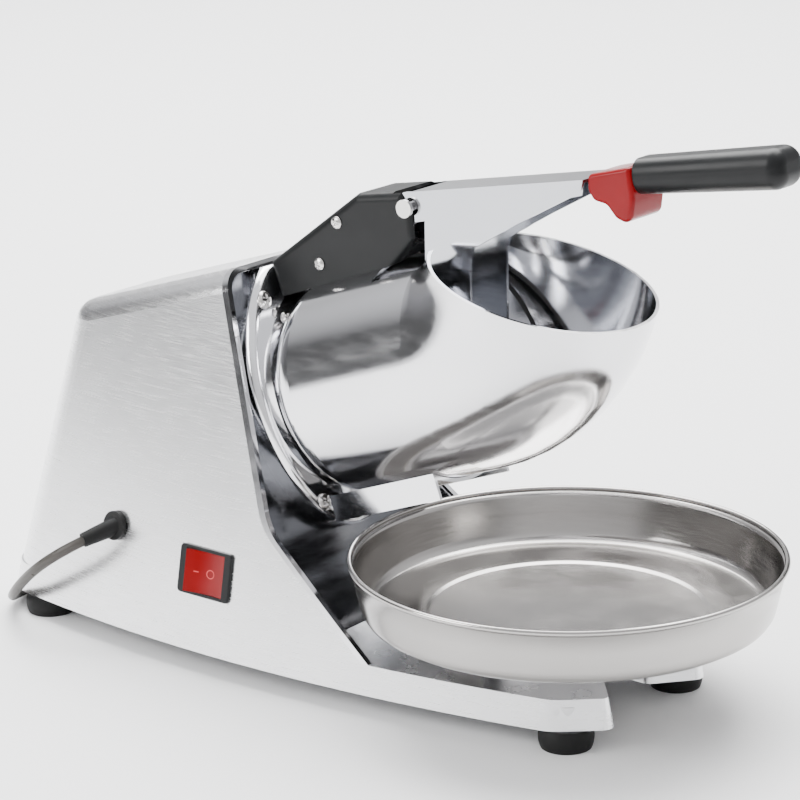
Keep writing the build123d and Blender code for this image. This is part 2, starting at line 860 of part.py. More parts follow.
with BuildPart() as motor_front_cap:
    add(ring_on_axis(motor_front - cap_thickness, motor_front, motor_radius, bearing_radius))
    with BuildSketch(head.offset(motor_front)):
        with PolarLocations(motor_bolt_circle, motor_bolt_count, start_angle=45):
            Circle(motor_bolt_radius + running_fit)
    extrude(amount=-cap_thickness, mode=Mode.SUBTRACT)
motor_front_cap.part.label = "motor_front_cap"
export_step(motor_front_cap.part, "parts/motor_front_cap.step")

with BuildPart() as motor_housing:
    add(
        ring_on_axis(
            motor_rear + cap_thickness, motor_front - cap_thickness, motor_radius, motor_radius - motor_skin
        )
    )
motor_housing.part.label = "motor_housing"
export_step(motor_housing.part, "parts/motor_housing.step")

with BuildPart() as motor_rear_cap:
    add(ring_on_axis(motor_rear, motor_rear + cap_thickness, motor_radius, bearing_radius))
motor_rear_cap.part.label = "motor_rear_cap"
export_step(motor_rear_cap.part, "parts/motor_rear_cap.step")

stator_start = motor_rear + cap_thickness + stator_margin
stator_end = motor_front - cap_thickness - stator_margin

with BuildPart() as stator:
    add(ring_on_axis(stator_start, stator_end, motor_radius - motor_skin, rotor_radius + air_gap))
stator.part.label = "stator"
export_step(stator.part, "parts/stator.step")

with BuildPart() as rotor:
    add(ring_on_axis(stator_start, stator_end, rotor_radius, shaft_radius))
rotor.part.label = "rotor"
export_step(rotor.part, "parts/rotor.step")

for name, start in (("front", motor_front - cap_thickness + 1), ("rear", motor_rear + 1)):
    with BuildPart() as bearing:
        add(ring_on_axis(start, start + cap_thickness - 2, bearing_radius, shaft_radius + running_fit))
    bearing.part.label = f"{name}_bearing"
    export_step(bearing.part, f"parts/{name}_bearing.step")

with BuildPart() as motor_bolts:
    with BuildSketch(head.offset(recess_back - motor_bolt_sink)):
        with PolarLocations(motor_bolt_circle, motor_bolt_count, start_angle=45):
            Circle(motor_bolt_head)
    extrude(amount=motor_bolt_sink - 0.3)
    with BuildSketch(head.offset(recess_back - motor_bolt_sink)):
        with PolarLocations(motor_bolt_circle, motor_bolt_count, start_angle=45):
            Circle(motor_bolt_radius)
    extrude(amount=motor_front - cap_thickness + 1 - recess_back + motor_bolt_sink)
motor_bolts.part.label = "motor_bolts"
export_step(motor_bolts.part, "parts/motor_bolts.step")

# ---------------------------------------------------------------- turning parts
disc_front = disc_back + disc_thickness
shaft_front = disc_front + 5
fan_radius = 34
fan_depth = 10
fan_gap = 3
vane_count = 8
vane_overlap = 0.5  # how far each vane reaches into the hub
fan_front = motor_rear - fan_gap
blade_count = 3
slot_length = 32
slot_width = 7
slot_centre = 28
blade_thickness = 1.5
blade_reach = 0.6
nut_radius = 9

with BuildPart() as motor_shaft:
    with BuildSketch(head.offset(fan_front - fan_depth)):
        Circle(shaft_radius)
    extrude(amount=shaft_front - fan_front + fan_depth)
motor_shaft.part.label = "motor_shaft"
export_step(motor_shaft.part, "parts/motor_shaft.step")

with BuildPart() as cooling_fan:
    add(ring_on_axis(fan_front - 2, fan_front, fan_radius, shaft_radius))
    add(ring_on_axis(fan_front - fan_depth, fan_front, shaft_radius + wall, shaft_radius))
    with BuildSketch(head.offset(fan_front - 2)):
        with PolarLocations((fan_radius + shaft_radius + wall) / 2 - vane_overlap, vane_count):
            Rectangle(fan_radius - shaft_radius - wall, 2)
    extrude(amount=2 - fan_depth)
cooling_fan.part.label = "cooling_fan"
export_step(cooling_fan.part, "parts/cooling_fan.step")

with BuildPart() as blade_disc:
    add(ring_on_axis(disc_back, disc_front, disc_radius, shaft_radius))
    with BuildSketch(head.offset(disc_back)):
        with PolarLocations(slot_centre, blade_count):
            Rectangle(slot_length, slot_width)
    extrude(amount=disc_thickness, mode=Mode.SUBTRACT)
blade_disc.part.label = "blade_disc"
export_step(blade_disc.part, "parts/blade_disc.step")

with BuildPart() as shaving_blades:
    with BuildSketch(head.offset(disc_back)):
        with PolarLocations(slot_centre, blade_count):
            with Locations((0, (slot_width - blade_thickness) / 2)):
                Rectangle(slot_length, blade_thickness)
    extrude(amount=disc_thickness + blade_reach)
shaving_blades.part.label = "shaving_blades"
export_step(shaving_blades.part, "parts/shaving_blades.step")

with BuildPart() as disc_nut:
    with BuildSketch(head.offset(disc_front)):
        RegularPolygon(nut_radius, 6)
        Circle(shaft_radius, mode=Mode.SUBTRACT)
    extrude(amount=shaft_front - disc_front)
disc_nut.part.label = "disc_nut"
export_step(disc_nut.part, "parts/disc_nut.step")

# ---------------------------------------------------------------- electrics on the base cover
electrics_floor = foot_height + cover_sheet
capacitor_radius = 16
capacitor_length = 60

with BuildPart() as capacitor:
    with BuildSketch(Plane.YZ.offset(-150)):
        with Locations((35, electrics_floor + capacitor_radius)):
            Circle(capacitor_radius)
    extrude(amount=capacitor_length)
capacitor.part.label = "capacitor"
export_step(capacitor.part, "parts/capacitor.step")

with BuildPart() as terminal_block:
    with BuildSketch(Plane.XY.offset(electrics_floor)):
        with Locations((-165, -20)):
            Rectangle(50, 20)
    extrude(amount=16)
    with BuildSketch(Plane.XY.offset(electrics_floor + 16)):
        with Locations((-165, -20)):
            with GridLocations(11, 0, 4, 1):
                Circle(2.5)
    extrude(amount=-8, mode=Mode.SUBTRACT)
terminal_block.part.label = "terminal_block"
export_step(terminal_block.part, "parts/terminal_block.step")

# ---------------------------------------------------------------- switch
window_width = 28.8
window_height = 24.3
bezel_proud = 1.8
body_depth = 22
rocker_half = 13.2
rocker_height = 24
rocker_pivot = 5
rocker_swing = 7

with BuildPart() as switch_body:
    with BuildSketch(switch_plane.offset(-seat_depth)):
        RectangleRounded(switch_width, switch_height, 2.5)
    extrude(amount=seat_depth + bezel_proud)
    bezel_face = switch_body.faces().sort_by(Axis(switch_plane.origin, switch_plane.z_dir))[-1]
    fillet(bezel_face.edges(), radius=0.8)
    with BuildSketch(switch_plane.offset(-body_depth)):
        Rectangle(body_width, body_height)
    extrude(amount=body_depth - seat_depth)
    with BuildSketch(switch_plane.offset(2 - body_depth)):
        Rectangle(window_width, window_height)
    extrude(amount=body_depth + bezel_proud, mode=Mode.SUBTRACT)
switch_body.part.label = "switch_body"
export_step(switch_body.part, "parts/switch_body.step")

rocker_origin = switch_plane.offset(-rocker_pivot).origin
rocker_base = Plane(
    origin=rocker_origin,
    x_dir=switch_plane.x_dir * cos(radians(rocker_swing)) - switch_plane.z_dir * sin(radians(rocker_swing)),
    z_dir=switch_plane.x_dir * sin(radians(rocker_swing)) + switch_plane.z_dir * cos(radians(rocker_swing)),
)
rocker_side = Plane(origin=rocker_base.origin, x_dir=rocker_base.x_dir, z_dir=-rocker_base.y_dir)

with BuildPart() as rocker:
    with BuildSketch(rocker_side):
        with BuildLine():
            Polyline(
                (-rocker_half, 8),
                (-rocker_half, 2),
                (-rocker_pivot, -rocker_pivot),
                (rocker_pivot, -rocker_pivot),
                (rocker_half, 2),
                (rocker_half, 8),
            )
            ThreePointArc((-rocker_half, 8), (0, 6.2), (rocker_half, 8))
        make_face()
    extrude(amount=rocker_height / 2, both=True)
rocker.part.label = "rocker"
export_step(rocker.part, "parts/rocker.step")

# ---------------------------------------------------------------- pan and its rest
pan_floor_edge = 107
pan_axis = Axis((pan_x, 0, 0), (0, 0, 1))
rim_roll = 1.6
rest_wall = 4

with BuildPart() as pan:
    with BuildSketch(Plane.XZ.shift_origin((pan_x, 0, 0))):
        with BuildLine():
            low = pan_bottom
            step = pan_bottom + pan_disc_rise
            Polyline(
                (0, low + pan_sheet),
                (0, low),
                (pan_disc_radius, low),
                (pan_disc_radius + 1, step),
                (pan_floor_edge, step),
            )
            ThreePointArc((pan_floor_edge, step), (pan_foot_radius - 1, step + 2), (pan_foot_radius + 1, step + 6))
            Polyline(
                (pan_foot_radius + 1, step + 6),
                (pan_radius - rim_roll, pan_top - rim_roll),
                (pan_radius - rim_roll - pan_sheet, pan_top - rim_roll),
                (pan_foot_radius + 1 - pan_sheet, step + 6),
            )
            ThreePointArc(
                (pan_foot_radius + 1 - pan_sheet, step + 6),
                (pan_foot_radius - 1 - pan_sheet * 0.7, step + 2 + pan_sheet * 0.7),
                (pan_floor_edge - 1, step + pan_sheet),
            )
            Polyline(
                (pan_floor_edge - 1, step + pan_sheet),
                (pan_disc_radius, step + pan_sheet),
                (pan_disc_radius - 1, low + pan_sheet),
                (0, low + pan_sheet),
            )
        make_face()
        with Locations((pan_radius - rim_roll, pan_top - rim_roll)):
            Circle(rim_roll)
    revolve(axis=pan_axis)
pan.part.label = "pan"
export_step(pan.part, "parts/pan.step")

with BuildPart() as pan_rest:
    with BuildSketch(Plane.XY.offset(deck_top)):
        with Locations((pan_x, 0)):
            Circle(rest_radius)
    extrude(amount=pan_bottom - deck_top)
    with BuildSketch(Plane.XY.offset(deck_top)):
        with Locations((pan_x, 0)):
            Circle(rest_radius - rest_wall)
    extrude(amount=pan_bottom - deck_top - rest_wall, mode=Mode.SUBTRACT)
pan_rest.part.label = "pan_rest"
export_step(pan_rest.part, "parts/pan_rest.step")

# ---------------------------------------------------------------- mains lead
lead_direction = Vector(-0.42, -0.87, -0.26)
lead_start = grommet_plane.origin
lead_plane = Plane(origin=lead_start, z_dir=lead_direction)
sleeve_length = 22
sleeve_start = 5.5
sleeve_end = 4.2
grommet_flange = 8.5
lead_entry = 1
coil_height = 4 * cord_radius
lead_floor = cord_radius + 0.1

lead_route = [
    lead_start + lead_direction * lead_entry,
    lead_start + lead_direction * 24,
    Vector(-183, -103, 48),
    Vector(-207, -97, 30),
    Vector(-228, -86, 13),
    Vector(-246, -66, 4),
    Vector(-252, -38, lead_floor),
    Vector(-256, -8, lead_floor),
    Vector(-262, 24, lead_floor),
    Vector(-270, 56, lead_floor),
    Vector(-266, 88, lead_floor),
    Vector(coil_x - coil_mid_radius - cord_radius * 2, coil_y - 10, lead_floor),
]
tail_route = [
    Vector(coil_x - 2, coil_y + coil_mid_radius + cord_radius * 2, lead_floor),
    Vector(coil_x + 24, coil_y + coil_mid_radius + cord_radius * 2 + 2, 4.5),
    Vector(coil_x + 52, coil_y + coil_mid_radius + cord_radius * 2 - 2, 9),
]


def lead_tube(route):
    """Round lead along straight runs joined by arcs that are as large as the runs allow."""
    radii = []
    for before, corner, after in zip(route, route[1:], route[2:]):
        turn = (corner - before).get_angle(after - corner)
        shorter = min((corner - before).length, (after - corner).length)
        radii.append(0.45 * shorter / tan(radians(turn / 2)))
    with BuildPart(mode=Mode.PRIVATE) as tube:
        with BuildLine() as path:
            FilletPolyline(*route, radius=radii)
        line = path.wires()[0]
        with BuildSketch(Plane(origin=line @ 0, z_dir=line % 0)):
            Circle(cord_radius)
        sweep(path=line)
    print("radii", [round(radius) for radius in radii])
    print("length", line.length, "volume ratio", tube.part.volume / (pi * cord_radius**2 * line.length))
    return tube.part


with BuildPart() as strain_relief:
    with BuildSketch(grommet_plane.offset(-wall - 2)):
        Circle(grommet_radius)
    extrude(amount=wall + 2)
    with BuildSketch(grommet_plane.offset(0.3)):
        Circle(grommet_flange)
    extrude(amount=2.7)
    with BuildSketch(grommet_plane):
        Circle(grommet_radius)
    extrude(amount=1)
    with BuildSketch(lead_plane):
        Circle(sleeve_start)
    with BuildSketch(lead_plane.offset(sleeve_length)):
        Circle(sleeve_end)
    loft()
    with BuildSketch(lead_plane.offset(lead_entry)):
        Circle(cord_radius + running_fit)
    extrude(amount=sleeve_length, mode=Mode.SUBTRACT)
strain_relief.part.label = "strain_relief"
export_step(strain_relief.part, "parts/strain_relief.step")

with BuildPart() as cord_lead:
    add(lead_tube(lead_route))
cord_lead.part.label = "cord_lead"
export_step(cord_lead.part, "parts/cord_lead.step")

with BuildPart() as cord_tail:
    add(lead_tube(tail_route))
cord_tail.part.label = "cord_tail"
export_step(cord_tail.part, "parts/cord_tail.step")

with BuildPart() as cord_coil:
    with BuildSketch():
        with Locations((coil_x, coil_y)):
            Circle(coil_mid_radius + coil_half)
            Circle(coil_mid_radius - coil_half, mode=Mode.SUBTRACT)
    extrude(amount=coil_height + 0.2)
cord_coil.part.label = "cord_coil"
export_step(cord_coil.part, "parts/cord_coil.step")

tie_width = 8
tie_sheet = 1

with BuildPart() as cord_tie:
    with BuildSketch(Plane.YZ.offset(coil_x - tie_width / 2)):
        with Locations((coil_y - coil_mid_radius, (coil_height + 0.2 + tie_sheet) / 2)):
            Rectangle(2 * coil_half + 2 * tie_sheet + 1, coil_height + 0.2 + tie_sheet)
    extrude(amount=tie_width)
    add(cord_coil.part, mode=Mode.SUBTRACT)
    with BuildSketch(Plane.YZ.offset(coil_x - tie_width / 2)):
        with Locations((coil_y - coil_mid_radius, (coil_height + 0.2) / 2)):
            Rectangle(2 * coil_half, coil_height + 0.2)
    extrude(amount=tie_width, mode=Mode.SUBTRACT)
cord_tie.part.label = "cord_tie"
export_step(cord_tie.part, "parts/cord_tie.step")

plug_length = 36
plug_plane = Plane(origin=tail_route[-1] - Vector(2, 0, 0), x_dir=(0, 1, 0), z_dir=(1, 0, 0))
pin_half_gap = 6.5

with BuildPart() as plug:
    with BuildSketch(plug_plane):
        RectangleRounded(12, 12, 5)
    with BuildSketch(plug_plane.offset(plug_length / 3)):
        RectangleRounded(24, 18, 6)
    loft()
    with BuildSketch(plug_plane.offset(plug_length / 3)):
        RectangleRounded(24, 18, 6)
    extrude(amount=plug_length * 2 / 3)
plug.part.label = "plug"
export_step(plug.part, "parts/plug.step")

with BuildPart() as plug_pins:
    with BuildSketch(plug_plane.offset(plug_length)):
        with Locations((pin_half_gap, 0), (-pin_half_gap, 0)):
            Rectangle(1.6, 6.4)
    extrude(amount=17)
plug_pins.part.label = "plug_pins"
export_step(plug_pins.part, "parts/plug_pins.step")
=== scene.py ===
import json
import math

import bmesh
import bpy
from mathutils import Matrix, Vector


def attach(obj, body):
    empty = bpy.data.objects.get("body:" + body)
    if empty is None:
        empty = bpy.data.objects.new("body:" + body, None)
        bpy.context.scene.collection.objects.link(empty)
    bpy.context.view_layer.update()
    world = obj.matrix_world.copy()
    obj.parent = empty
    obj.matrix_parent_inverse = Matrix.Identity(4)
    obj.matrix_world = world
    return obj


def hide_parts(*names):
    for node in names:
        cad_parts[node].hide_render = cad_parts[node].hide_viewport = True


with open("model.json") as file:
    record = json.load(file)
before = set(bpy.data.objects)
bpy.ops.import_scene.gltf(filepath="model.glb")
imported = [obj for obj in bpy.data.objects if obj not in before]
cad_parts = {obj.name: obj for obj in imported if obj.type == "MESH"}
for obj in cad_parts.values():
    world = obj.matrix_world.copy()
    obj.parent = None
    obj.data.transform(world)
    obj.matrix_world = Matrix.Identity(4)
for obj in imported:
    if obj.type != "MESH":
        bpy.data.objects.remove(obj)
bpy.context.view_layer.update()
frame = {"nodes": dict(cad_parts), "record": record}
MM = 0.001


def mm(*values):
    """A point given in millimetres, in metres."""
    return Vector(values) * MM


# ---------------------------------------------------------------- camera
camera_data = bpy.data.cameras.new("camera")
camera_data.lens = 133.0
camera_data.sensor_width = 36.0
camera = bpy.data.objects.new("camera", camera_data)
bpy.context.scene.collection.objects.link(camera)
camera_right = Vector((0.7877, 0.6159, -0.0164)).normalized()
camera_back = Vector((0.5949, -0.7532, 0.2807)).normalized()
camera_up = camera_back.cross(camera_right).normalized()
camera_right = camera_up.cross(camera_back).normalized()
camera_place = mm(982.1, -1241.9, 615.1)
camera.matrix_world = Matrix(
    (
        (camera_right.x, camera_up.x, camera_back.x, camera_place.x),
        (camera_right.y, camera_up.y, camera_back.y, camera_place.y),
        (camera_right.z, camera_up.z, camera_back.z, camera_place.z),
        (0, 0, 0, 1),
    )
)
bpy.context.scene.camera = camera


# ---------------------------------------------------------------- mesh helpers
def link(name, data, body):
    """A new piece that rides on one body."""
    piece = bpy.data.objects.new(name, data)
    bpy.context.scene.collection.objects.link(piece)
    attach(piece, body)
    return piece


def mesh_piece(name, body, maker, material):
    """A smooth-shaded mesh piece filled in by maker."""
    mesh = bpy.data.meshes.new(name)
    form = bmesh.new()
    maker(form)
    bmesh.ops.recalc_face_normals(form, faces=form.faces)
    form.to_mesh(mesh)
    form.free()
    for face in mesh.polygons:
        face.use_smooth = True
    mesh.materials.append(material)
    piece = link(name, mesh, body)
    return piece


def join_rings(form, rings, segments):
    """Skins a row of rings, each with one point or a full circle of them."""
    for low, high in zip(rings, rings[1:]):
        for step in range(segments):
            following = (step + 1) % segments
            corners = [
                low[step % len(low)],
                low[following % len(low)],
                high[following % len(high)],
                high[step % len(high)],
            ]
            unique = list(dict.fromkeys(corners))
            if len(unique) > 2:
                form.faces.new(unique)


def lathe(form, profile, origin, axis, segments):
    """Turns a profile of (radius, distance) pairs about an axis."""
    axis = Vector(axis).normalized()
    across = axis.orthogonal().normalized()
    other = axis.cross(across)
    rings = []
    for radius, along in profile:
        centre = Vector(origin) + axis * along
        if radius < 1e-7:
            rings.append([form.verts.new(centre)])
            continue
        ring = []
        for step in range(segments):
            turn = 2 * math.pi * step / segments
            spoke = across * math.cos(turn) + other * math.sin(turn)
            ring.append(form.verts.new(centre + spoke * radius))
        rings.append(ring)
    join_rings(form, rings, segments)


def prism(form, outline, half):
    """Extrudes an outline of (x, z) pairs to both sides of the middle plane."""
    near = [form.verts.new((x, -half, z)) for x, z in outline]
    far = [form.verts.new((x, half, z)) for x, z in outline]
    form.faces.new(near)
    form.faces.new(list(reversed(far)))
    for index in range(len(outline)):
        following = (index + 1) % len(outline)
        form.faces.new((near[following], near[index], far[index], far[following]))


def rounded(piece, width, segments, angle):
    """Rounds the edges of a piece that turn by more than an angle, and keeps its flats flat."""
    bevel = piece.modifiers.new("bevel", "BEVEL")
    bevel.width = width
    bevel.segments = segments
    bevel.limit_method = "ANGLE"
    bevel.angle_limit = math.radians(angle)
    weighted = piece.modifiers.new("normals", "WEIGHTED_NORMAL")
    weighted.keep_sharp = True


# ---------------------------------------------------------------- materials
def material(name, colour, metallic, roughness):
    """A principled material with one starting tone."""
    made = bpy.data.materials.new(name)
    made.use_nodes = True
    shader = made.node_tree.nodes["Principled BSDF"]
    shader.inputs["Base Color"].default_value = (*colour, 1)
    shader.inputs["Metallic"].default_value = metallic
    shader.inputs["Roughness"].default_value = roughness
    return made


def noise(made, scale, stretch=(1, 1, 1), detail=4.0):
    """A noise pattern in the object's own coordinates."""
    nodes, links = made.node_tree.nodes, made.node_tree.links
    place = nodes.new("ShaderNodeTexCoord")
    mapping = nodes.new("ShaderNodeMapping")
    mapping.inputs["Scale"].default_value = stretch
    pattern = nodes.new("ShaderNodeTexNoise")
    pattern.inputs["Scale"].default_value = scale
    pattern.inputs["Detail"].default_value = detail
    links.new(place.outputs["Object"], mapping.inputs["Vector"])
    links.new(mapping.outputs["Vector"], pattern.inputs["Vector"])
    return pattern.outputs["Fac"]


def vary_roughness(made, pattern, low, high):
    """Drives roughness by a pattern."""
    nodes, links = made.node_tree.nodes, made.node_tree.links
    spread = nodes.new("ShaderNodeMapRange")
    spread.inputs["From Min"].default_value = 0.3
    spread.inputs["From Max"].default_value = 0.7
    spread.inputs["To Min"].default_value = low
    spread.inputs["To Max"].default_value = high
    links.new(pattern, spread.inputs["Value"])
    links.new(spread.outputs["Result"], nodes["Principled BSDF"].inputs["Roughness"])


def vary_colour(made, pattern, dark, light):
    """Drives the base colour between two tones by a pattern."""
    nodes, links = made.node_tree.nodes, made.node_tree.links
    ramp = nodes.new("ShaderNodeValToRGB")
    ramp.color_ramp.elements[0].position = 0.3
    ramp.color_ramp.elements[0].color = (*dark, 1)
    ramp.color_ramp.elements[1].position = 0.7
    ramp.color_ramp.elements[1].color = (*light, 1)
    links.new(pattern, ramp.inputs["Fac"])
    links.new(ramp.outputs["Color"], nodes["Principled BSDF"].inputs["Base Color"])


def add_bump(made, pattern, strength, distance):
    """Raises a pattern as fine relief."""
    nodes, links = made.node_tree.nodes, made.node_tree.links
    bump = nodes.new("ShaderNodeBump")
    bump.inputs["Strength"].default_value = strength
    bump.inputs["Distance"].default_value = distance
    links.new(pattern, bump.inputs["Height"])
    links.new(bump.outputs["Normal"], nodes["Principled BSDF"].inputs["Normal"])


def worked_metal(name, tone, low, high, scale, stretch, relief):
    """Metal whose finish varies along its polishing or brushing lines."""
    made = material(name, tone, 1.0, low)
    lines = noise(made, scale, stretch)
    vary_roughness(made, lines, low, high)
    dark = tuple(value * 0.94 for value in tone)
    vary_colour(made, noise(made, 14, (1, 1, 1), 3.0), dark, tone)
    if relief:
        add_bump(made, lines, 0.25, relief)
    return made


def moulded(name, tone, roughness, relief):
    """Moulded plastic or rubber with a fine surface texture."""
    made = material(name, tone, 0.0, roughness)
    made.node_tree.nodes["Principled BSDF"].inputs["Specular IOR Level"].default_value = 0.22
    grain = noise(made, 900, (1, 1, 1), 6.0)
    vary_roughness(made, noise(made, 60), roughness * 0.85, min(1.0, roughness * 1.15))
    dark = tuple(value * 0.8 for value in tone)
    vary_colour(made, noise(made, 25), dark, tone)
    add_bump(made, grain, 0.3, relief)
    return made


casing_alloy = worked_metal("casing_alloy", (0.90, 0.90, 0.91), 0.22, 0.29, 1500, (0.04, 0.04, 1), 0)
bright_trim = worked_metal("bright_trim", (0.80, 0.80, 0.82), 0.08, 0.14, 80, (1, 1, 1), 0)
dark_panel = worked_metal("dark_panel", (0.16, 0.165, 0.18), 0.14, 0.24, 50, (1, 1, 6), 0.00001)
polished_alloy = worked_metal("polished_alloy", (0.84, 0.84, 0.86), 0.09, 0.15, 40, (1, 6, 6), 0.00001)
chrome_lever = worked_metal("chrome_lever", (0.50, 0.51, 0.54), 0.10, 0.17, 60, (1, 1, 8), 0)
stainless_pan = worked_metal("stainless_pan", (0.44, 0.425, 0.41), 0.15, 0.22, 70, (1, 1, 10), 0)
plain_steel = worked_metal("plain_steel", (0.45, 0.45, 0.46), 0.3, 0.45, 90, (1, 1, 4), 0.00002)
cast_caps = worked_metal("cast_caps", (0.6, 0.6, 0.62), 0.4, 0.6, 200, (1, 1, 1), 0.0001)
screw_steel = worked_metal("screw_steel", (0.70, 0.68, 0.66), 0.15, 0.25, 300, (1, 1, 1), 0)
brass_contacts = worked_metal("brass_contacts", (0.78, 0.6, 0.3), 0.2, 0.3, 300, (1, 1, 1), 0)
black_plastic = moulded("black_plastic", (0.007, 0.0075, 0.008), 0.36, 0.00003)
red_plastic = moulded("red_plastic", (0.22, 0.0, 0.002), 0.2, 0.00001)
red_rocker = moulded("red_rocker", (0.20, 0.0, 0.001), 0.12, 0.00001)
black_rubber = moulded("black_rubber", (0.008, 0.008, 0.008), 0.55, 0.00005)
grey_cord = moulded("grey_cord", (0.060, 0.055, 0.050), 0.3, 0.00002)
mark_red = moulded("mark_red", (0.62, 0.06, 0.06), 0.3, 0.00001)

FINISH = {
    "casing_alloy": casing_alloy,
    "bright_trim": bright_trim,
    "dark_panel": dark_panel,
    "polished_alloy": polished_alloy,
    "chrome_lever": chrome_lever,
    "stainless_pan": stainless_pan,
    "plain_steel": plain_steel,
    "cast_caps": cast_caps,
    "screw_steel": screw_steel,
    "brass_contacts": brass_contacts,
    "black_plastic": black_plastic,
    "red_plastic": red_plastic,
    "black_rubber": black_rubber,
    "grey_cord": grey_cord,
}
for entry in frame["record"]["subparts"]:
    finish = FINISH[entry["material_slot"]]
    node = frame["nodes"][entry["node"]]
    if node.data.materials:
        node.data.materials[0] = finish
    else:
        node.data.materials.append(finish)
    node.material_slots[0].link = "DATA"
frame["nodes"]["rocker"].material_slots[0].material = red_rocker

# ---------------------------------------------------------------- mains lead
CORD_RADIUS = 3 * MM
LEAD_START = mm(-151, -73.13, 69)
LEAD_DIRECTION = Vector((-0.42, -0.87, -0.26))
LEAD_FLOOR = 3.1
COIL_CENTRE = (-222, 126)
COIL_LAPS = 6
COIL_POINTS = 114
COIL_START = 195
COIL_SWEEP = 1900
LAP_CHANGE = 0.8
COIL_PITCH = 6.2
COIL_MIDDLE = 33
LAYER_RISE = 6.1

lead_route = [
    LEAD_START + LEAD_DIRECTION * 1 * MM,
    LEAD_START + LEAD_DIRECTION * 24 * MM,
    mm(-183, -103, 48),
    mm(-207, -97, 30),
    mm(-228, -86, 13),
    mm(-246, -66, 4),
    mm(-252, -38, LEAD_FLOOR),
    mm(-256, -8, LEAD_FLOOR),
    mm(-262, 24, LEAD_FLOOR),
    mm(-270, 56, LEAD_FLOOR),
    mm(-266, 88, LEAD_FLOOR),
]
tail_route = [
    mm(COIL_CENTRE[0] + 24, COIL_CENTRE[1] + COIL_MIDDLE + 8, 6.5),
    mm(COIL_CENTRE[0] + 50, COIL_CENTRE[1] + COIL_MIDDLE + 4, 9),
]


def coil_points():
    """Turns of the tied coil: outwards to inwards on the floor, then back outwards on top."""
    columns = [COIL_MIDDLE + COIL_PITCH, COIL_MIDDLE, COIL_MIDDLE - COIL_PITCH]
    radii = columns + columns[::-1]
    heights = [LEAD_FLOOR] * 3 + [LEAD_FLOOR + LAYER_RISE] * 3
    points = []
    for step in range(COIL_POINTS + 1):
        turned = COIL_SWEEP * step / COIL_POINTS
        laps = turned / 360
        lap = min(int(laps), COIL_LAPS - 1)
        blend = max(0.0, min(1.0, (laps - lap - LAP_CHANGE) / (1 - LAP_CHANGE)))
        following = min(lap + 1, COIL_LAPS - 1)
        radius = radii[lap] + (radii[following] - radii[lap]) * blend
        height = heights[lap] + (heights[following] - heights[lap]) * blend
        angle = math.radians(COIL_START - turned)
        across = radius * math.cos(angle)
        along = radius * math.sin(angle)
        points.append(mm(COIL_CENTRE[0] + across, COIL_CENTRE[1] + along, height))
    return points


def cord_piece():
    """The whole lead as one smooth spline with a round section."""
    data = bpy.data.curves.new("mains_lead", "CURVE")
    data.dimensions = "3D"
    data.bevel_depth = CORD_RADIUS
    data.bevel_resolution = 6
    data.use_fill_caps = True
    route = lead_route + coil_points() + tail_route
    spline = data.splines.new("NURBS")
    spline.points.add(len(route) - 1)
    for point, place in zip(spline.points, route):
        point.co = (*place, 1)
    spline.order_u = 3
    spline.use_endpoint_u = True
    spline.resolution_u = 6
    data.materials.append(grey_cord)
    piece = link("mains_lead", data, "frame")
    return piece


mains_lead = cord_piece()
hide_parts("cord_lead", "cord_coil", "cord_tail")


# ---------------------------------------------------------------- pan
PAN_CENTRE = mm(115, 0, 0)
PAN_SEGMENTS = 160


def pan_form(form):
    """The spun pan: rolled rim, leaning wall, foot ring and a raised middle."""
    rim = []
    for step in range(15):
        turn = math.radians(-60 + 300 * step / 14)
        rim.append(((118.4 + 1.55 * math.cos(turn)) * MM, (83.4 + 1.55 * math.sin(turn)) * MM))
    outside = [
        (0, 51.05),
        (70, 51.05),
        (74, 51.3),
        (77, 52.05),
        (90, 52.05),
        (104, 52.05),
        (108, 52.6),
        (111, 54.4),
        (112.6, 57),
        (113.4, 60),
        (115.6, 70),
        (118.0, 80.9),
    ]
    inside = [
        (116.7, 82.2),
        (116.0, 79),
        (114.2, 70),
        (112.0, 60),
        (111.2, 57.6),
        (109.6, 55.2),
        (107.4, 53.8),
        (104, 53.3),
        (90, 53.3),
        (78, 53.3),
        (76.8, 53.1),
        (75.6, 52.5),
        (74.4, 52.3),
        (50, 52.25),
        (0, 52.25),
    ]
    profile = [(radius * MM, height * MM) for radius, height in outside]
    profile += rim
    profile += [(radius * MM, height * MM) for radius, height in inside]
    lathe(form, profile, PAN_CENTRE, (0, 0, 1), PAN_SEGMENTS)


def make_pan():
    """The spun pan, which stands for its CAD solid."""
    piece = mesh_piece("spun_pan", "pan", pan_form, stainless_pan)
    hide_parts("pan")


make_pan()

# ---------------------------------------------------------------- cross-head screws
TILT = math.radians(20)
HEAD_AXIS = Vector((math.cos(TILT), 0, math.sin(TILT)))
HEAD_UP = Vector((-math.sin(TILT), 0, math.cos(TILT)))
HEAD_ORIGIN = mm(55.8, 0, 187)


def screw_head(form, centre, axis, radius, height, turn):
    """A domed head with a cross recess, on a short shank that runs into the part."""
    axis = axis.normalized()
    across = axis.orthogonal().normalized()
    other = axis.cross(across)
    rings = []
    count = 18
    segments = 56
    for level in range(count + 1):
        reach = level / count
        ring = []
        for step in range(segments):
            angle = 2 * math.pi * step / segments
            u = reach * math.cos(angle)
            v = reach * math.sin(angle)
            rise = height * (0.98 - 0.62 * reach**3)
            along = u * math.cos(turn) + v * math.sin(turn)
            aside = v * math.cos(turn) - u * math.sin(turn)
            if min(abs(along), abs(aside)) < 0.14 and max(abs(along), abs(aside)) < 0.58:
                rise -= height * 0.5
            place = centre + (across * u + other * v) * radius + axis * rise
            ring.append(form.verts.new(place))
            if level == 0:
                break
        rings.append(ring)
    rings.append([form.verts.new(vertex.co - axis * height * 0.36) for vertex in rings[-1]])
    join_rings(form, rings, segments)
    form.faces.new(rings[-1])


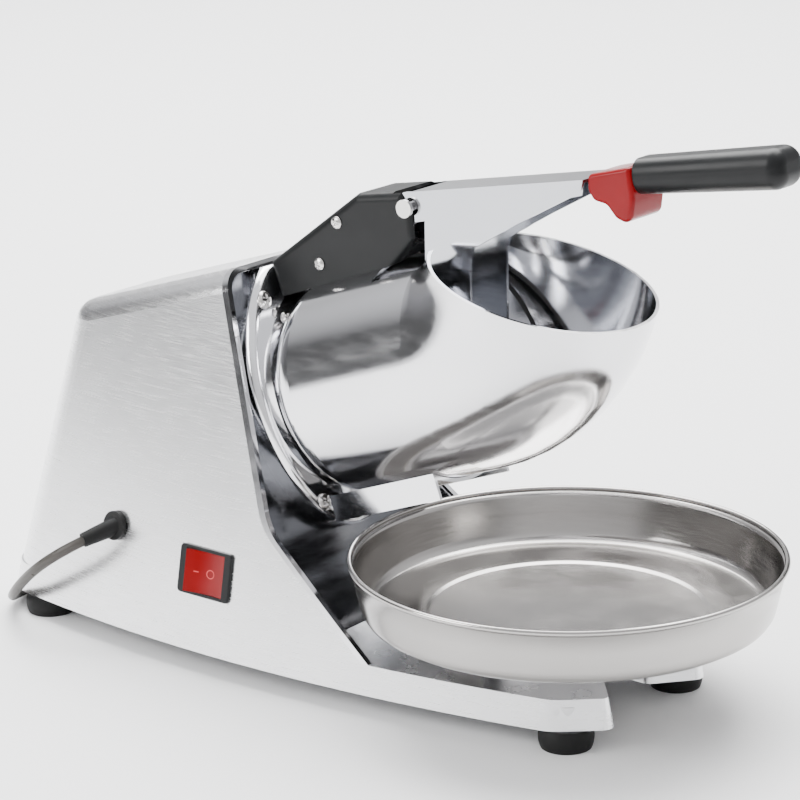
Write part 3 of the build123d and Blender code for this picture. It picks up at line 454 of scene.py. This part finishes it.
def screw_set(name, node, places, radius, height):
    """Every screw of one set, given as places and directions, as one piece that stands for its CAD node."""

    def fill(form):
        for index, (place, axis) in enumerate(places):
            screw_head(form, place, axis, radius, height, 0.5 + 0.9 * index)

    piece = mesh_piece(name, "frame", fill, screw_steel)
    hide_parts(node)


def head_point(across, rise, level):
    """A point given across, up and along the tilted head, in millimetres."""
    return HEAD_ORIGIN + Vector((0, 1, 0)) * across * MM + HEAD_UP * rise * MM + HEAD_AXIS * level * MM


screw_set(
    "head_screws",
    "head_plate_screws",
    [
        (head_point(side * across, rise, -113), HEAD_AXIS)
        for side in (-1, 1)
        for across, rise in ((29.5, 61), (30, -57.5))
    ],
    5 * MM,
    2.5 * MM,
)
screw_set(
    "flange_screws",
    "hopper_flange_screws",
    [
        (head_point(side * across, rise, -106), HEAD_AXIS)
        for side in (-1, 1)
        for across, rise in ((24, 48), (23, -44))
    ],
    3.5 * MM,
    2 * MM,
)

screw_set(
    "cover_screws",
    "hinge_cover_screws",
    [
        (mm(along, side * 20, height), Vector((0, side, 0)))
        for side in (-1, 1)
        for along, height in ((-25, 254), (-38, 229))
    ],
    3.5 * MM,
    1.8 * MM,
)

# ---------------------------------------------------------------- collar
COLLAR_SIDE = (
    (137.3, 299),
    (137.3, 291),
    (141, 285.5),
    (149, 284.5),
    (155, 278),
    (161, 276),
    (165, 279),
    (166, 289),
    (163, 306),
    (160, 305),
)


def collar_form(form):
    """The moulded collar between the lever's sheet and the grip."""
    prism(form, [(along * MM, height * MM) for along, height in COLLAR_SIDE], 15 * MM)


collar = mesh_piece("moulded_collar", "lever", collar_form, red_plastic)
rounded(collar, 3.2 * MM, 5, 20)
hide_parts("lever_collar")

# ---------------------------------------------------------------- rocker marks
ROCKER_OUT = Vector((-0.0201, -0.9804, 0.1959)).normalized()
ROCKER_UP = Vector((0.003954, 0.195906, 0.980615))
ROCKER_SIDE = ROCKER_UP.cross(ROCKER_OUT).normalized()
ROCKER_MIDDLE = mm(-76.9, -79.8, 57)
MARK_ASIDE = 4.5
MARK_CLEAR = 6
RING_STEPS = 48
RING_INNER = 2.0
RING_OUTER = 2.6


def rocker_marks(form):
    """A flat ring and dash, which the wrap then lays on the rocker's curved face."""
    for step in range(RING_STEPS):
        corners = []
        following = step + 1
        for radius, angle in (
            (RING_INNER, step),
            (RING_INNER, following),
            (RING_OUTER, following),
            (RING_OUTER, step),
        ):
            turn = 2 * math.pi * angle / RING_STEPS
            spot = ROCKER_SIDE * radius * math.cos(turn) + ROCKER_UP * radius * math.sin(turn)
            place = spot + ROCKER_SIDE * MARK_ASIDE + ROCKER_OUT * MARK_CLEAR
            corners.append(form.verts.new(ROCKER_MIDDLE + place * MM))
        form.faces.new(corners)
    dash = []
    for across, rise in ((-1.6, -0.35), (1.6, -0.35), (1.6, 0.35), (-1.6, 0.35)):
        spot = ROCKER_SIDE * (across - MARK_ASIDE) + ROCKER_UP * rise
        dash.append(form.verts.new(ROCKER_MIDDLE + (spot + ROCKER_OUT * MARK_CLEAR) * MM))
    form.faces.new(dash)
    bmesh.ops.remove_doubles(form, verts=form.verts, dist=1e-6)


marks = mesh_piece("rocker_marks", "rocker", rocker_marks, mark_red)
wrap = marks.modifiers.new("wrap", "SHRINKWRAP")
wrap.target = frame["nodes"]["rocker"]
wrap.wrap_method = "NEAREST_SURFACEPOINT"
wrap.wrap_mode = "ABOVE_SURFACE"
wrap.offset = 0.00012

# ---------------------------------------------------------------- stage
def plane_object(name, size, place, facing, made):
    """A flat card that isn't part of the object."""
    mesh = bpy.data.meshes.new(name)
    form = bmesh.new()
    bmesh.ops.create_grid(form, x_segments=1, y_segments=1, size=0.5)
    bmesh.ops.scale(form, vec=(size[0], size[1], 1), verts=form.verts)
    form.to_mesh(mesh)
    form.free()
    mesh.materials.append(made)
    card = bpy.data.objects.new(name, mesh)
    bpy.context.scene.collection.objects.link(card)
    card.location = place
    card.rotation_euler = Vector(facing).to_track_quat("Z", "Y").to_euler()
    return card


floor_paint = material("floor_paint", (0.93, 0.93, 0.93), 0.0, 0.6)
plane_object("floor", (12, 12), (0, 0, 0), (0, 0, 1), floor_paint)


def area_light(name, size, place, target, power):
    """A soft rectangular lamp aimed at a point."""
    data = bpy.data.lights.new(name, "AREA")
    data.shape = "RECTANGLE"
    data.size = size[0]
    data.size_y = size[1]
    data.energy = power
    lamp = bpy.data.objects.new(name, data)
    bpy.context.scene.collection.objects.link(lamp)
    lamp.location = place
    direction = Vector(target) - Vector(place)
    lamp.rotation_euler = direction.to_track_quat("-Z", "Y").to_euler()
    return lamp


area_light("key", (1.4, 1.4), (-1.2, -2.0, 1.3), (0, 0, 0.15), 60)
area_light("top", (2.4, 1.6), (-0.2, 0.6, 2.2), (0, 0, 0.1), 60)
area_light("floor_fill", (3.0, 3.0), (-1.2, 1.6, 2.6), (-1.0, 1.3, 0), 260)


def studio_world():
    """Bright studio walls with darker stretches that the polished metal mirrors."""
    world = bpy.data.worlds.new("world")
    world.use_nodes = True
    nodes, links = world.node_tree.nodes, world.node_tree.links
    place = nodes.new("ShaderNodeTexCoord")
    around = nodes.new("ShaderNodeTexGradient")
    around.gradient_type = "RADIAL"
    walls = nodes.new("ShaderNodeValToRGB")
    first, last = walls.color_ramp.elements
    first.position, first.color = 0.0, (0.35, 0.35, 0.37, 1)
    last.position, last.color = 1.0, (0.35, 0.35, 0.37, 1)
    for where, tone in (
        (0.06, 0.12),
        (0.20, 0.10),
        (0.25, 0.9),
        (0.42, 1.0),
        (0.47, 0.5),
        (0.56, 0.9),
        (0.68, 1.0),
        (0.73, 0.35),
        (0.77, 0.15),
        (0.82, 0.2),
        (0.86, 1.0),
        (0.93, 0.9),
        (0.96, 0.4),
    ):
        stop = walls.color_ramp.elements.new(where)
        stop.color = (tone, tone, tone * 1.02, 1)
    links.new(place.outputs["Generated"], around.inputs["Vector"])
    links.new(around.outputs["Fac"], walls.inputs["Fac"])
    split = nodes.new("ShaderNodeSeparateXYZ")
    links.new(place.outputs["Generated"], split.inputs["Vector"])
    lift = nodes.new("ShaderNodeMapRange")
    lift.inputs["From Min"].default_value = 0.35
    lift.inputs["From Max"].default_value = 0.6
    links.new(split.outputs["Z"], lift.inputs["Value"])
    mix = nodes.new("ShaderNodeMix")
    mix.data_type = "RGBA"
    mix.inputs[7].default_value = (1.2, 1.21, 1.24, 1)
    links.new(lift.outputs["Result"], mix.inputs[0])
    links.new(walls.outputs["Color"], mix.inputs[6])
    links.new(mix.outputs[2], nodes["Background"].inputs["Color"])
    nodes["Background"].inputs["Strength"].default_value = 1.0
    bpy.context.scene.world = world


studio_world()
